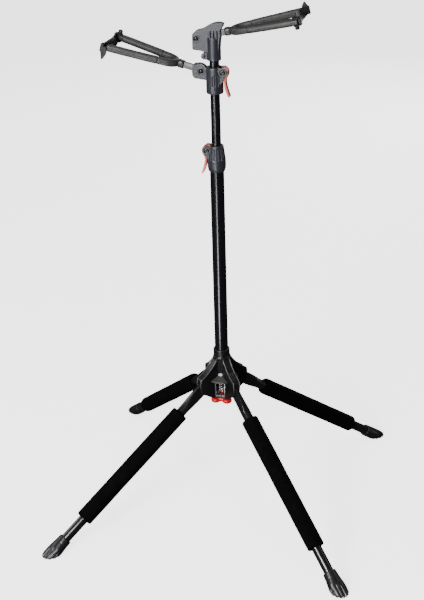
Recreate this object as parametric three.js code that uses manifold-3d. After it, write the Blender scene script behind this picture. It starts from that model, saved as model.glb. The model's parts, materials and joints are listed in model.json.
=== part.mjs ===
// Two-instrument hanging stand: four folding padded legs, a telescoping mast and two
// height-staggered yokes. Millimetres, +Z up, origin on the floor under the mast axis.
import * as THREE from 'three';
import { mergeVertices } from 'three/addons/utils/BufferGeometryUtils.js';
import Module from 'manifold-3d';

const wasm = await Module();
wasm.setup();

// ---------------------------------------------------------------- driving dimensions
const GAP = 0.3;                       // clearance between neighbouring pieces
const LEG = {
  az: { FR: -45, FL: -135, RR: 45, RL: 135 },
  hingeR: 40, hingeZ: 304.4, slope: 36.21, tubeR: 11.1, tubeWall: 1.5,
  tangHalfT: 5, tangHalfH: 14, tubeEnd: 490, foamR: 19.25, foamS0: 90.2, foamLen: 319.9,
  foamSlip: { FR: 0, FL: 0, RR: 0, RL: 15.6 }, bootTop: 467.9, pinR: 4,
};
const HUB = { armHalf: 8.6, slotHalf: 5.3, cageFlat: 23.6, cageHalf: 11.6, cageCorner: 24.5 };
const MAST = { lowerR: 15, lowerZ0: 332.3, lowerZ1: 828, upperR: 10, upperZ0: 710, upperZ1: 1080, wall: 1.5 };
const CLUTCH = { pivotX: -19.1, pivotZ: 852.5 };
const LHEAD = { leverX: 19.1, leverZ: 1019.3, pivX: -26.1, pivZ: 1020.6, tilt: 15.5, arm: 45 };
const UHEAD = { pivX: -34.7, pivZ: 1087.4, tilt: 12.8, arm: 66.5, lugX: -19.4, lugZ: 1050.7 };
const LEVER = { drumR: 8.6, drumHalf: 8.7, tailHalf: 7, openTurn: 0 };
const ARM = { halfH: 6.3, halfT: 4.2 };
const FORK = { roll: 3.3, pegX: 148, pegY: 37.5 };

// ---------------------------------------------------------------- helpers
function signedVolume(g) {
  const p = g.attributes.position, i = g.index.array;
  let v = 0;
  const a = new THREE.Vector3(), b = new THREE.Vector3(), c = new THREE.Vector3();
  for (let k = 0; k < i.length; k += 3) {
    a.fromBufferAttribute(p, i[k]); b.fromBufferAttribute(p, i[k + 1]); c.fromBufferAttribute(p, i[k + 2]);
    v += a.dot(b.cross(c));
  }
  return v / 6;
}
function solid(geo) {
  let g = geo.clone();
  g.deleteAttribute('normal'); g.deleteAttribute('uv');
  g = mergeVertices(g, 1e-4);
  const idx = g.index.array, keep = [];
  for (let k = 0; k < idx.length; k += 3) {
    const [a, b, c] = [idx[k], idx[k + 1], idx[k + 2]];
    if (a !== b && b !== c && a !== c) keep.push(a, b, c);
  }
  g.setIndex(keep);
  if (signedVolume(g) < 0) for (let k = 0; k < keep.length; k += 3) [keep[k], keep[k + 1]] = [keep[k + 1], keep[k]];
  return new wasm.Manifold(new wasm.Mesh({
    numProp: 3,
    vertProperties: new Float32Array(g.attributes.position.array),
    triVerts: new Uint32Array(keep),
  }));
}
function geometry(man) {
  const m = man.getMesh();
  const g = new THREE.BufferGeometry();
  g.setAttribute('position', new THREE.BufferAttribute(new Float32Array(m.vertProperties), 3));
  g.setIndex(new THREE.BufferAttribute(new Uint32Array(m.triVerts), 1));
  g.computeVertexNormals();
  return g;
}
const add = (...s) => s.reduce((a, b) => a.add(b));
const cut = (a, ...s) => s.reduce((x, y) => x.subtract(y), a);
const box = (x0, x1, y0, y1, z0, z1) =>
  solid(new THREE.BoxGeometry(x1 - x0, y1 - y0, z1 - z0).translate((x0 + x1) / 2, (y0 + y1) / 2, (z0 + z1) / 2));
const cylZ = (r, z0, z1, n = 32, x = 0, y = 0, r2 = r) =>
  solid(new THREE.CylinderGeometry(r2, r, z1 - z0, n).rotateX(Math.PI / 2).translate(x, y, (z0 + z1) / 2));
const cylY = (r, y0, y1, x, z, n = 32) =>
  solid(new THREE.CylinderGeometry(r, r, y1 - y0, n).translate(x, (y0 + y1) / 2, z));
const cylX = (r, x0, x1, y = 0, z = 0, n = 24) =>
  solid(new THREE.CylinderGeometry(r, r, x1 - x0, n).rotateZ(Math.PI / 2).translate((x0 + x1) / 2, y, z));
const lathe = (prof, n = 24) =>
  solid(new THREE.LatheGeometry(prof.map(([r, z]) => new THREE.Vector2(r, z)), n).rotateX(Math.PI / 2));
// closed ring profile: first point repeated at the end
const ring = (prof, n = 24) => lathe([...prof, prof[0]], n);
function plateXZ(pts, y0, y1) {        // outline in X-Z, thickness along Y
  const s = new THREE.Shape(pts.map(([x, z]) => new THREE.Vector2(x, z)));
  return solid(new THREE.ExtrudeGeometry(s, { depth: y1 - y0, bevelEnabled: false }).rotateX(Math.PI / 2).translate(0, y1, 0));
}
function plateXY(pts, z0, z1) {
  const s = new THREE.Shape(pts.map(([x, y]) => new THREE.Vector2(x, y)));
  return solid(new THREE.ExtrudeGeometry(s, { depth: z1 - z0, bevelEnabled: false }).translate(0, 0, z0));
}
function loft(rings) {                 // rings: equal-length lists of [x, y, z]
  const n = rings[0].length, pos = [], idx = [];
  rings.forEach((r) => r.forEach((p) => pos.push(...p)));
  for (let i = 0; i + 1 < rings.length; i++)
    for (let j = 0; j < n; j++) {
      const a = i * n + j, b = i * n + (j + 1) % n, c = a + n, d = b + n;
      idx.push(a, b, d, a, d, c);
    }
  const cap = (r, flip) => {
    const base = r * n, c = pos.length / 3;
    const m = [0, 1, 2].map((k) => rings[r].reduce((s, p) => s + p[k], 0) / n);
    pos.push(...m);
    for (let j = 0; j < n; j++) {
      const a = base + j, b = base + (j + 1) % n;
      if (flip) idx.push(b, a, c); else idx.push(a, b, c);
    }
  };
  cap(0, true); cap(rings.length - 1, false);
  const g = new THREE.BufferGeometry();
  g.setAttribute('position', new THREE.Float32BufferAttribute(pos, 3));
  g.setIndex(idx);
  return solid(g);
}
// superellipse section in the Y-Z plane at station x
const section = (x, hy, hz, p = 2, n = 16) => Array.from({ length: n }, (_, k) => {
  const t = (k / n) * 2 * Math.PI, c = Math.cos(t), s = Math.sin(t);
  return [x, hy * Math.sign(c) * Math.abs(c) ** (2 / p), hz * Math.sign(s) * Math.abs(s) ** (2 / p)];
});
// tube along a curve lying in an X-Y plane; shape x is vertical, shape y lateral
function sweep(pts, shapePts, steps) {
  const c = new THREE.CatmullRomCurve3(pts.map(([x, y]) => new THREE.Vector3(x, y, 0)));
  const s = new THREE.Shape(shapePts.map(([x, y]) => new THREE.Vector2(x, y)));
  return solid(new THREE.ExtrudeGeometry(s, { steps, extrudePath: c, bevelEnabled: false, curveSegments: 1 }));
}
const oval = (hx, hy, p, n) => section(0, hx, hy, p, n).map(([, a, b]) => [a, b]);
const deg = (d) => (d * Math.PI) / 180;
const turnZ = (m, d) => m.rotate([0, 0, d]);

// ---------------------------------------------------------------- scene graph
const group = new THREE.Group();
const MAT = {
  hub: [0x141416, 0.28, 0.0], tube: [0x0b0b0d, 0.18, 0.5], foam: [0x0c0c0c, 0.95, 0], boot: [0x35363a, 0.6, 0],
  head: [0x50525a, 0.5, 0], red: [0xd9443e, 0.4, 0], steel: [0xb9bbbe, 0.25, 1], dark: [0x1b1b1c, 0.5, 0.4],
  pad: [0x4b4a48, 0.75, 0], strap: [0x22231e, 0.7, 0], shank: [0x9a9a9c, 0.35, 0.9],
};
function place(name, man, mat, parent = group) {
  const [c, r, m] = MAT[mat];
  const mesh = new THREE.Mesh(geometry(man), new THREE.MeshStandardMaterial({ color: c, roughness: r, metalness: m }));
  mesh.name = name;
  parent.add(mesh);
  return mesh;
}

// ---------------------------------------------------------------- hub
const armTop = [[16, 367], [17.5, 366], [20, 360.5], [24, 353], [30, 345], [45, 330], [58, 321]];
const armEnd = [[61.5, 314], [62, 300], [58.5, 285]];
const armBottom = [[36, 270], [30, 266], [25.7, 266]];
const armInner = [[25.7, 308], [8, 308], [8, 367]];
let hub = add(cylZ(15.7, 308, 332, 24),
  ring([[15.3, 331.5], [15.3, 385], [17.4, 385], [18.3, 383.6], [18.9, 366.4], [19.9, 365], [19.9, 362], [18.2, 350], [16.4, 331.5]], 24));
// ledge between the arms
hub = add(hub, lathe([[0, 308], [33, 309.3], [36, 310], [36.3, 311.5], [35.5, 313], [17, 321.5], [0, 321.5]], 24));
for (const k of Object.keys(LEG.az)) {
  const arm = plateXZ([...armTop, ...armEnd, ...armBottom, ...armInner], -HUB.armHalf, HUB.armHalf);
  hub = hub.add(turnZ(arm, LEG.az[k]));
}
// keep the tube seat open and cut the four leg slots
hub = cut(hub, cylZ(15.3, 332, 386, 24), cylZ(4.5, 300, 322, 16));
const B = deg(LEG.slope), cB = Math.cos(B), sB = Math.sin(B), rC = LEG.tangHalfH + GAP;
const slotPts = [[LEG.hingeR + rC * sB, LEG.hingeZ + rC * cB]];
slotPts.push([slotPts[0][0] + 60 * cB, slotPts[0][1] - 60 * sB], [110, 200], [25.7, 200], [25.7, 304.4]);
const slot = add(plateXZ(slotPts, -HUB.slotHalf, HUB.slotHalf),
  cylY(rC, -HUB.slotHalf, HUB.slotHalf, LEG.hingeR, LEG.hingeZ, 36));
const pinHole = cylY(LEG.pinR + GAP, -12, 12, LEG.hingeR, LEG.hingeZ, 12);
for (const k of Object.keys(LEG.az)) {
  hub = cut(hub, turnZ(slot, LEG.az[k]), turnZ(pinHole, LEG.az[k]));
}
place('hub_body', hub, 'hub');

// lock cage: bright basket with a window towards each gap between the legs
const octo = (f, c) => {                // flats f towards the gaps, corners cut at distance c
  const e = c * Math.SQRT2 - f, p = [];
  for (let k = 0; k < 4; k++) {
    const a = k * Math.PI / 2, ca = Math.cos(a), sa = Math.sin(a);
    for (const y of [-e, e]) p.push([f * ca - y * sa, f * sa + y * ca]);
  }
  return p;
};
let cage = cut(plateXY(octo(HUB.cageFlat, HUB.cageCorner), 270.4, 307.6), plateXY(octo(HUB.cageFlat - 2, HUB.cageCorner - 2), 273, 305));
for (let k = 0; k < 2; k++) cage = cut(cage, turnZ(box(-30, 30, -9.6, 9.6, 273, 305), 90 * k));
cage = cut(cage, cylZ(9.2, 300, 310, 24), cylZ(9.4, 268, 275, 24));
for (const k of Object.keys(LEG.az)) cage = cut(cage, turnZ(cylZ(1.8, 268, 274, 8, 20.4, 0), LEG.az[k]));
place('lock_cage', cage, 'steel');

let base = cut(plateXY(octo(HUB.cageFlat, HUB.cageCorner), 266.2, 270.1), cylZ(6.3, 260, 280, 24));
for (const k of Object.keys(LEG.az))
  base = cut(base, turnZ(cylZ(1.8, 260, 275, 8, 20.4, 0), LEG.az[k]), turnZ(cylZ(3.5, 260, 268.2, 12, 20.4, 0), LEG.az[k]));
place('hub_base', base, 'dark');
for (const k of Object.keys(LEG.az))
  place(`base_screw_${k}`, turnZ(add(cylZ(3.1, 266.3, 267.9, 12, 20.4, 0), cylZ(1.4, 267.8, 276, 8, 20.4, 0)), LEG.az[k]), 'steel');

// release knob with four finger lobes and a conical boss, plunger and return spring
let knob = lathe([[0, 250.5], [12, 251], [16, 253], [17.5, 257], [16, 262.5], [12, 264.2], [0, 264.2]], 24);
for (const k of Object.keys(LEG.az)) {
  const lobe = loft([
    section(8, 10, 6.5, 2.4, 12), section(21, 11, 6.9, 2.4, 12), section(26.4, 9.2, 6.2, 2.3, 12), section(29.6, 5.2, 4, 2.1, 12),
  ].map((r) => r.map(([x, y, z]) => [x, y, z + 257.3 - 0.06 * Math.max(0, x - 8)])));
  knob = knob.add(turnZ(lobe, LEG.az[k]));
}
knob = knob.intersect(box(-40, 40, -40, 40, 245, 264.2));
knob = cut(add(knob, cylZ(5.85, 264, 274, 24), cylZ(5.85, 273.9, 281, 24, 0, 0, 4.9)), cylZ(4.3, 255, 290, 20));
place('release_knob', knob, 'red');
place('lock_plunger', add(cylZ(4, 255.4, 315, 20), cylZ(8.4, 302.6, 305.6, 24)), 'steel');
{
  const turns = 4, pts = [];
  for (let k = 0; k <= turns * 10; k++) {
    const a = (k / 10) * 2 * Math.PI;
    pts.push(new THREE.Vector3(7.3 * Math.cos(a), 7.3 * Math.sin(a), 271.5 + (30 * k) / (turns * 10)));
  }
  const path = new THREE.CatmullRomCurve3(pts);
  const s = new THREE.Shape(oval(0.7, 0.7, 2, 5).map(([x, y]) => new THREE.Vector2(x, y)));
  place('lock_spring', solid(new THREE.ExtrudeGeometry(s, { steps: turns * 10, extrudePath: path, bevelEnabled: false })), 'steel');
}

// ---------------------------------------------------------------- legs
for (const [k, az] of Object.entries(LEG.az)) {
  const outer = new THREE.Group(); outer.rotation.z = deg(az); group.add(outer);
  const leg = new THREE.Group(); leg.position.set(LEG.hingeR, 0, LEG.hingeZ); leg.rotation.y = B; outer.add(leg);
  const R = LEG.tubeR, T = LEG.tangHalfT, H = LEG.tangHalfH;
  const end = [];
  for (let i = 0; i <= 12; i++) { const a = Math.PI / 2 + (Math.PI * i) / 12; end.push([H * Math.cos(a), H * Math.sin(a)]); }
  const tang = plateXZ([...end, [34, -H], [34, H]], -T, T);
  const body = loft([
    section(33, T - 0.02, H - 0.02, 6), section(42, T + 0.6, H - 0.1, 4.5), section(52, 7.4, 13.2, 3.2), section(62, 9.6, 12.1, 2.5),
    section(74, R, R, 2), section(LEG.tubeEnd, R, R, 2),
  ]);
  place(`leg_tube_${k}`, cut(add(tang, body), cylY(LEG.pinR + GAP, -12, 12, 0, 0, 12), cylX(R - LEG.tubeWall, 82, LEG.tubeEnd + 5, 0, 0, 20)), 'tube', leg);
  place(`pivot_pin_${k}`, cylY(LEG.pinR, -HUB.armHalf, HUB.armHalf, 0, 0, 12), 'steel', leg);
  const s0 = LEG.foamS0 + LEG.foamSlip[k];
  place(`foam_sleeve_${k}`, cut(cylX(LEG.foamR, s0, s0 + LEG.foamLen, 0, 0, 24), cylX(R + 0.4, s0 - 5, s0 + LEG.foamLen + 5, 0, 0, 20)), 'foam', leg);
  const t = LEG.bootTop;
  const boot = loft([
    section(t, 14.5, 14.5, 2), section(t + 16, 16, 14.5, 2.1), section(t + 33, 18.9, 14.5, 2.2),
    section(t + 44, 19.5, 14.5, 2.2), section(t + 54, 18.6, 14.4, 2.2), section(t + 61, 16, 13.9, 2.1), section(t + 66, 11.5, 12.4, 2), section(t + 69, 5, 9, 2),
  ]);
  // the sole is trimmed level with the floor
  const floorBlock = box(0, 900, -60, 60, -200, 0).translate([-LEG.hingeR, 0, -LEG.hingeZ]).rotate([0, -LEG.slope, 0]);
  place(`boot_${k}`, cut(boot, floorBlock, cylX(R + GAP, t - 5, 492.5, 0, 0, 20)), 'boot', leg);
}

// ---------------------------------------------------------------- mast
place('lower_tube', ring([[15, 332.3], [15, 828], [13.5, 828], [13.5, 332.3]], 24), 'tube');
place('guide_bush', ring([[13.2, 800], [13.2, 827.6], [10.3, 827.6], [10.3, 800]], 24), 'dark');
place('upper_tube', ring([[10, 710], [10, 1080], [8.5, 1080], [8.5, 710]], 24), 'tube');
place('tube_foot', cut(cylZ(13.2, 704, 722, 24), cylZ(10.3, 709.7, 730, 24)), 'dark');

// lever: round drum with an outward swelling and a curved tail (u outward, w up)
const drumSwell = [[0, 0], [4, 8.0], [7.6, 7.2], [10, 4], [11, 0], [10.6, -4.5], [8.8, -9.5], [6.2, -14.5], [2, -12], [0, -8]];
const tail = [[6.6, -13.0], [5.9, -17], [5.5, -21.5], [6.3, -27], [8.4, -36.5], [10.9, -44.5], [12.9, -50.6], [12.2, -52.6], [9.6, -52.3],
  [7.6, -48.6], [5.0, -41.5], [2.9, -35], [1.6, -28], [1.2, -21], [1.1, -12], [1.5, -6], [6, -6]];
function lever(sign, px, pz, extra = 0) {
  const m = (pts) => pts.map(([u, w]) => {
    const a = deg(extra), x = u * Math.cos(a) - w * Math.sin(a), z = u * Math.sin(a) + w * Math.cos(a);
    return [px + sign * x, pz + z];
  });
  const rev = (p) => (sign > 0 ? p : p.slice().reverse());
  return cut(add(cylY(LEVER.drumR, -LEVER.drumHalf, LEVER.drumHalf, px, pz, 24),
    plateXZ(rev(m(drumSwell)), -LEVER.drumHalf, LEVER.drumHalf),
    plateXZ(rev(m(tail)), -LEVER.tailHalf, LEVER.tailHalf)), cylY(3.3, -20, 20, px, pz, 16));
}
function ears(sign, px, pz, tipX, tipZ) {
  // two cheek plates from the collar's flank to a round boss
  const p = [[px, pz + 9.5], [px + sign * 6.7, pz + 6.7], [px + sign * 9.5, pz], [px + sign * 8.4, pz - 4.6], [tipX, tipZ], [sign * 8, tipZ], [sign * 8, pz + 9.0]];
  const q = sign > 0 ? p : p.slice().reverse();
  return add(...[-1, 1].flatMap((s) => {
    const y0 = s > 0 ? 9 : -12.3;
    return [plateXZ(q, y0, y0 + 3.3), cylY(9.5, y0, y0 + 3.3, px, pz, 20)];
  }));
}
const leverPin = (px, pz) => add(cylY(3, -12.8, 12.8, px, pz, 16), cylY(5.4, -13.9, -12.6, px, pz, 16), cylY(4.6, 12.6, 14.4, px, pz, 6));

// mid clutch collar
{
  const { pivotX: px, pivotZ: pz } = CLUTCH;
  let c = ring([[10.3, 862.4], [14.4, 862.4], [15.3, 861.2], [18.0, 841], [19.6, 830], [19.4, 814.6], [19, 812], [16.6, 805.5], [15.3, 805.5], [15.3, 828.3], [10.3, 828.3]], 24);
  c = add(c, ears(-1, px, pz, -14.9, 831.2));
  for (const a of [-102, -78, -54]) c = cut(c, turnZ(box(15.6, 26, -1.7, 1.7, 832, 854), a));
  c = cut(c, cylY(9, -8.97, 8.97, px, pz, 24), box(-60, px + 0.2, -8.97, 8.97, 829, 880), box(-60, -9, -8.97, 8.97, pz, 880), cylZ(10.3, 828.3, 870, 24), cylY(3.3, -20, 20, px, pz, 16));
  place('clutch_collar', c, 'head');
  place('clutch_lever', lever(-1, px, pz), 'red');
  place('clutch_pin', leverPin(px, pz), 'dark');
}

// ---------------------------------------------------------------- lower head
const dirOf = (a) => [Math.cos(deg(a)), Math.sin(deg(a))];
function armSlot(px, pz, angRest, angOpen, floorSide) {
  // space swept by the arm between its rest stop and its raised position
  const [c1, s1] = dirOf(angRest), [c2, s2] = dirOf(angOpen), o = ARM.halfH + GAP;
  const n1 = [floorSide * s1, -floorSide * c1], n2 = [-floorSide * s2, floorSide * c2];
  const p = [
    [px + n1[0] * o, pz + n1[1] * o],
    [px + n1[0] * o + 90 * c1, pz + n1[1] * o + 90 * s1],
    [px + 90 * c1 + 60 * (c1 + c2), pz + 90 * s1 + 60 * (s1 + s2)],
    [px + n2[0] * o + 90 * c2, pz + n2[1] * o + 90 * s2],
    [px + n2[0] * o, pz + n2[1] * o],
  ];
  const q = floorSide > 0 ? p : p.slice().reverse();
  return add(plateXZ(q, -4.6, 4.6), cylY(o + 0.15, -4.6, 4.6, px, pz, 24));
}
{
  const { leverX: lx, leverZ: lz, pivX: px, pivZ: pz } = LHEAD;
  place('lower_sleeve', ring([[13, 976], [13, 1003.6], [10.3, 1003.6], [10.3, 976]], 24), 'dark');
  let h = ring([[10.4, 974], [16.9, 974], [17.9, 975.2], [17.9, 1027.4], [17.0, 1029], [10.3, 1029], [10.3, 1004], [13.35, 1004], [13.35, 975.6], [10.4, 975.6]], 24);
  h = add(h, plateXZ([[-10, 1029.5], [-17.7, 1028.1], [-20.5, 1031.2], [-23.9, 1033.1], [-28, 1034.4], [-31.7, 1034.9], [-38.7, 1033.8], [-42.4, 1033.9], [-43.8, 1032],
    [-45.5, 1020.3], [-44.8, 1011], [-43.4, 1008.6], [-39.3, 1005.2], [-17, 1002.3], [-10, 1002.3]].reverse(), -9.6, 9.6));
  h = add(h, ears(1, lx, lz, 15.9, 996.4));
  for (const a of [-104, -84, -64]) h = cut(h, turnZ(box(16.2, 26, -1.5, 1.5, 991.5, 1011), a));
  h = cut(h, cylZ(10.3, 1003.9, 1040, 24), cylZ(13.35, 975.6, 1004, 24), armSlot(px, pz, 180 - LHEAD.tilt, 180 - LHEAD.tilt - 37, -1),
    cylY(9, -8.97, 8.97, lx, lz, 24), box(lx - 0.2, 60, -8.97, 8.97, 990, 1040), box(9, 60, -8.97, 8.97, lz, 1040), cylY(3.3, -20, 20, lx, lz, 16), cylY(4.3, -20, 20, px, pz, 16));
  place('lower_head', h, 'head');
  place('lower_lever', lever(1, lx, lz, LEVER.openTurn), 'red');
  place('lower_lever_pin', leverPin(lx, lz), 'dark');
}
const armPin = (px, pz) => add(cylY(4, -10.2, 10.2, px, pz, 16), cylY(4.9, -12, -9.9, px, pz, 16), cylY(4.9, 9.9, 12, px, pz, 6));
place('lower_arm_pin', armPin(LHEAD.pivX, LHEAD.pivZ), 'dark');

// ---------------------------------------------------------------- upper head
{
  const { pivX: px, pivZ: pz, lugX, lugZ } = UHEAD;
  let h = cylZ(14.3, 1042.7, 1091, 24);
  h = add(h, plateXZ([[-42.6, 1095], [-41, 1097.6], [-35, 1102.5], [-25.6, 1104.8], [-15.1, 1110.1], [-4.6, 1116], [7.8, 1119.2], [15, 1119.2], [21.1, 1117.5], [21.1, 1114.1],
    [17.8, 1108], [15.6, 1106.2], [16.4, 1093.5], [13.4, 1084], [12, 1062], [-12, 1058.5], [-16.6, 1060], [-26.9, 1062.6], [-40.5, 1063.8], [-42.6, 1064.8], [-43.1, 1066.8]].reverse(), -9.6, 9.6));
  // the visor is hollowed where the end fitting of the arm swings through it
  const ringPts = [];
  for (let a = 2; a <= 50; a += 4) ringPts.push([px + 60.1 * Math.cos(deg(a)), pz + 60.1 * Math.sin(deg(a))]);
  const visorChannel = plateXZ([...ringPts.reverse(), [px + 90 * Math.cos(deg(2)), pz + 90 * Math.sin(deg(2))], [px + 90 * Math.cos(deg(50)), pz + 90 * Math.sin(deg(50))]], -7.75, 7.75);
  h = add(h, cylY(7, -6, 6, lugX, lugZ, 20), box(lugX, -8, -6, 6, lugZ - 7, lugZ + 7));
  h = cut(h, cylZ(10.3, 1040, 1080.4, 24), armSlot(px, pz, UHEAD.tilt, UHEAD.tilt + 97, 1), box(-40, -8, -1, 1, 1040, 1058.2),
    cylY(2.3, -20, 20, lugX - 1.5, lugZ, 16), cylY(4.3, -20, 20, px, pz, 16), visorChannel);
  // fins on the front face of the housing
  for (const x of [-5, 1.6, 9.2]) h = add(h, plateXZ([[x - 1.1, 1088], [x + 1.1, 1088], [x + 1.1, 1100.5], [x, 1103], [x - 1.1, 1100.5]], -13.2, -9.4));
  place('upper_head', h, 'head');
  place('upper_arm_pin', armPin(px, pz), 'dark');
  place('clamp_screw', add(cylY(2, -6.4, 9, lugX - 1.5, lugZ, 16), cylY(4, -8.4, -6.3, lugX - 1.5, lugZ, 20)), 'steel');
  place('clamp_nut', cut(cylY(3.8, 6.4, 8.9, lugX - 1.5, lugZ, 6), cylY(2.3, 6, 12, lugX - 1.5, lugZ, 16)), 'steel');
}

// ---------------------------------------------------------------- arms and yokes
const rootPath = [[9.5, 0], [13, 9], [20, 15], [30, 18.5], [46, 21.5]];
const prongPath = [[46.3, 21.56], [70, 25.9], [94, 29.9], [118, 33.7], [139, 36.7], [152, 38.2]];
function yoke(prefix, px, pz, heading, tilt, len, roll, flip) {
  const g0 = new THREE.Group(); g0.position.set(px, 0, pz); g0.rotation.z = deg(heading); group.add(g0);
  const arm = new THREE.Group(); arm.rotation.y = -deg(tilt); g0.add(arm);
  const rounded = [];
  for (let i = 0; i <= 12; i++) { const a = Math.PI / 2 + (Math.PI * i) / 12; rounded.push([ARM.halfH * Math.cos(a), ARM.halfH * Math.sin(a)]); }
  place(`${prefix}_arm`, cut(plateXZ([...rounded, [len - 2.4, -ARM.halfH], [len - 2.4, ARM.halfH]], -ARM.halfT, ARM.halfT), cylY(4.3, -10, 10, 0, 0, 16)), 'shank', arm);
  const fer = loft([section(len - 6, 7.4, 8.6, 3, 16), section(len + 6, 7.4, 8.6, 3, 16)]);
  place(`${prefix}_ferrule`, cut(fer, box(len - 8, len - 2, -ARM.halfT - GAP, ARM.halfT + GAP, -ARM.halfH - GAP, ARM.halfH + GAP), cylX(4.3, len - 1, len + 8, 0, 0, 16)), 'dark', arm);
  const fork = new THREE.Group(); fork.position.set(len, 0, 0); fork.rotation.x = deg(roll); arm.add(fork);
  const mirrorY = (pts) => pts.map(([x, y]) => [x, -y]);
  const rootSec = oval(7.7, 5.6, 3, 8), coreSec = oval(3.5, 3.5, 2, 6), boreSec = oval(4.1, 4.1, 2, 6);
  const corePath = [[40, 20.4], ...prongPath.slice(0, 5), [149, 38]];
  const sides = [-1, 1].map((s) => {
    const f = s > 0 ? (p) => p : mirrorY;
    const parts = [sweep(f(rootPath), rootSec, 6), sweep(f(corePath), coreSec, 5)];
    return add(...parts);
  });
  let frame = add(add(...sides, box(6.4, 14, -6.5, 6.5, -7.7, 7.7)).intersect(box(6.4, 160, -60, 60, -20, 20)), cylX(4, -0.6, 8, 0, 0, 16));
  frame = add(frame, cylZ(5.6, -7.6, 7.6, 18, FORK.pegX, -FORK.pegY));
  frame = cut(frame, cylZ(2.9, -20, 20, 12, FORK.pegX, -FORK.pegY));
  // keep the root behind the pads
  place(`${prefix}_yoke_frame`, frame, 'pad', fork);
  const padA = cut(sweep(mirrorY(prongPath), oval(8, 8, 2, 12), 4), sweep(mirrorY(corePath), boreSec, 5));
  const padB = cut(sweep(prongPath, oval(7.7, 6.4, 3, 12), 4), sweep([...corePath.slice(0, -1), [149.8, 38.08]], boreSec, 5));
  place(`${prefix}_pad_a`, padA.intersect(box(46.4, 141, -60, 60, -20, 20)).subtract(box(0, 46.6, -60, 60, -20, 20)), 'pad', fork);
  place(`${prefix}_pad_b`, padB.intersect(box(46.4, 151, -60, 60, -20, 20)).subtract(box(0, 46.6, -60, 60, -20, 20)), 'pad', fork);
  // retaining strap with two eyes on the peg, a bowed band and a pull tail
  const z = (a, b) => (flip ? [-b, -a] : [a, b]);
  const path = [[155.4, -38.5], [156.2, -33], [154.5, -24], [152.2, -12], [151.6, 0], [152.4, 12], [155, 25], [157.6, 35], [158.2, 43]];
  let strap = sweep(path, [[-8.5, -1.7], [8.5, -1.7], [8.5, 1.7], [-8.5, 1.7]], 12);
  for (const [a, b] of [z(8, 10.6), z(-10.6, -8)]) {
    strap = add(strap, cylZ(6.6, a, b, 18, FORK.pegX, -FORK.pegY), plateXY([[148, -43.2], [155, -42.5], [157.8, -37], [157.4, -31.5], [154, -31.2], [148, -31.2]], a, b));
  }
  strap = add(strap, box(154.2, 157.3, -40.6, -33, -10.6, 10.6));
  strap = add(strap, cylZ(3.6, -8.5, 8.5, 12, 158.2, 43.6));
  const tl = flip ? -1 : 1;
  const tailPts = [[-45.6, -7 * tl], [-37, -7 * tl], [-36.5, -12 * tl], [-40, -17 * tl], [-43.6, -23 * tl]].map(([y, w]) => [y, w]);
  strap = add(strap, plateXZ(tl > 0 ? tailPts.reverse() : tailPts, 0, 3).rotate([0, 0, 90]).translate([159.2, 0, 0]).mirror([0, 1, 0]).intersect(box(100, 200, -80, 80, -30, 30)));
  strap = cut(strap, cylZ(2.9, -20, 20, 12, FORK.pegX, -FORK.pegY));
  place(`${prefix}_strap`, strap, 'strap', fork);
  const [h0, h1] = z(10.9, 17.5), [s0, s1] = z(-12.6, 11), [n0, n1] = z(-13, -10.9);
  place(`${prefix}_peg`, add(cylZ(2.5, s0, s1, 12, FORK.pegX, -FORK.pegY), cylZ(4.6, h0, h1, 16, FORK.pegX, -FORK.pegY), cylZ(4.2, n0, n1, 16, FORK.pegX, -FORK.pegY)), 'strap', fork);
}
yoke('lower', LHEAD.pivX, LHEAD.pivZ, 180, LHEAD.tilt, LHEAD.arm, -FORK.roll, false);
yoke('upper', UHEAD.pivX, UHEAD.pivZ, 0, UHEAD.tilt, UHEAD.arm, FORK.roll, true);

export default group;
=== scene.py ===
import bpy, bmesh, json, math
import numpy as np
from mathutils import Matrix, Vector, noise


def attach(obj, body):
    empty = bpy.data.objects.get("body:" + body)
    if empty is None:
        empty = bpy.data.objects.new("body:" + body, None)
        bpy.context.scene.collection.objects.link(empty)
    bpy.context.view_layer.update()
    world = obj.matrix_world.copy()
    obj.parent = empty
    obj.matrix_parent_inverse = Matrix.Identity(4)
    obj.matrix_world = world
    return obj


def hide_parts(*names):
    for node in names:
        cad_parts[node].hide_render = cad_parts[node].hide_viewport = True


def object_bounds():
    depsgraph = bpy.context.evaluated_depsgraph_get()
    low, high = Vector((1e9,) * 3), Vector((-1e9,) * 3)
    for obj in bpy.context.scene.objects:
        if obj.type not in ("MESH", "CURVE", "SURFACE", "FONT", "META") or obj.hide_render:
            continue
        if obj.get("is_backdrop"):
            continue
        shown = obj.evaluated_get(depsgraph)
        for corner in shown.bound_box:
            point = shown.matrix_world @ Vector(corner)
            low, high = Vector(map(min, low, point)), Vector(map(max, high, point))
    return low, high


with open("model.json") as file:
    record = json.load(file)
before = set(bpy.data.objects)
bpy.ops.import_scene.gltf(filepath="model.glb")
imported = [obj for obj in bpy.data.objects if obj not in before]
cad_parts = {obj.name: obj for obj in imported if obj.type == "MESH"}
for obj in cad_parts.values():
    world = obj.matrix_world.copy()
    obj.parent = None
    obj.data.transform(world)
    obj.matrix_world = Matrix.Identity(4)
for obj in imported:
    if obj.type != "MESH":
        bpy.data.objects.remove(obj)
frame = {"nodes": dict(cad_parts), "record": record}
SIZE = {"cad_box": [[float(c) for c in p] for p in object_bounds()]}
MM = 0.001
rad = math.radians

# ---------------------------------------------------------------- transforms (millimetres)
def T(x, y, z):
    m = np.eye(4); m[:3, 3] = (x, y, z); return m
def R(axis, d):
    return np.array(Matrix.Rotation(rad(d), 4, axis))
def move(part, m):
    v, f = part
    return (v @ m[:3, :3].T + m[:3, 3], f)

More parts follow.
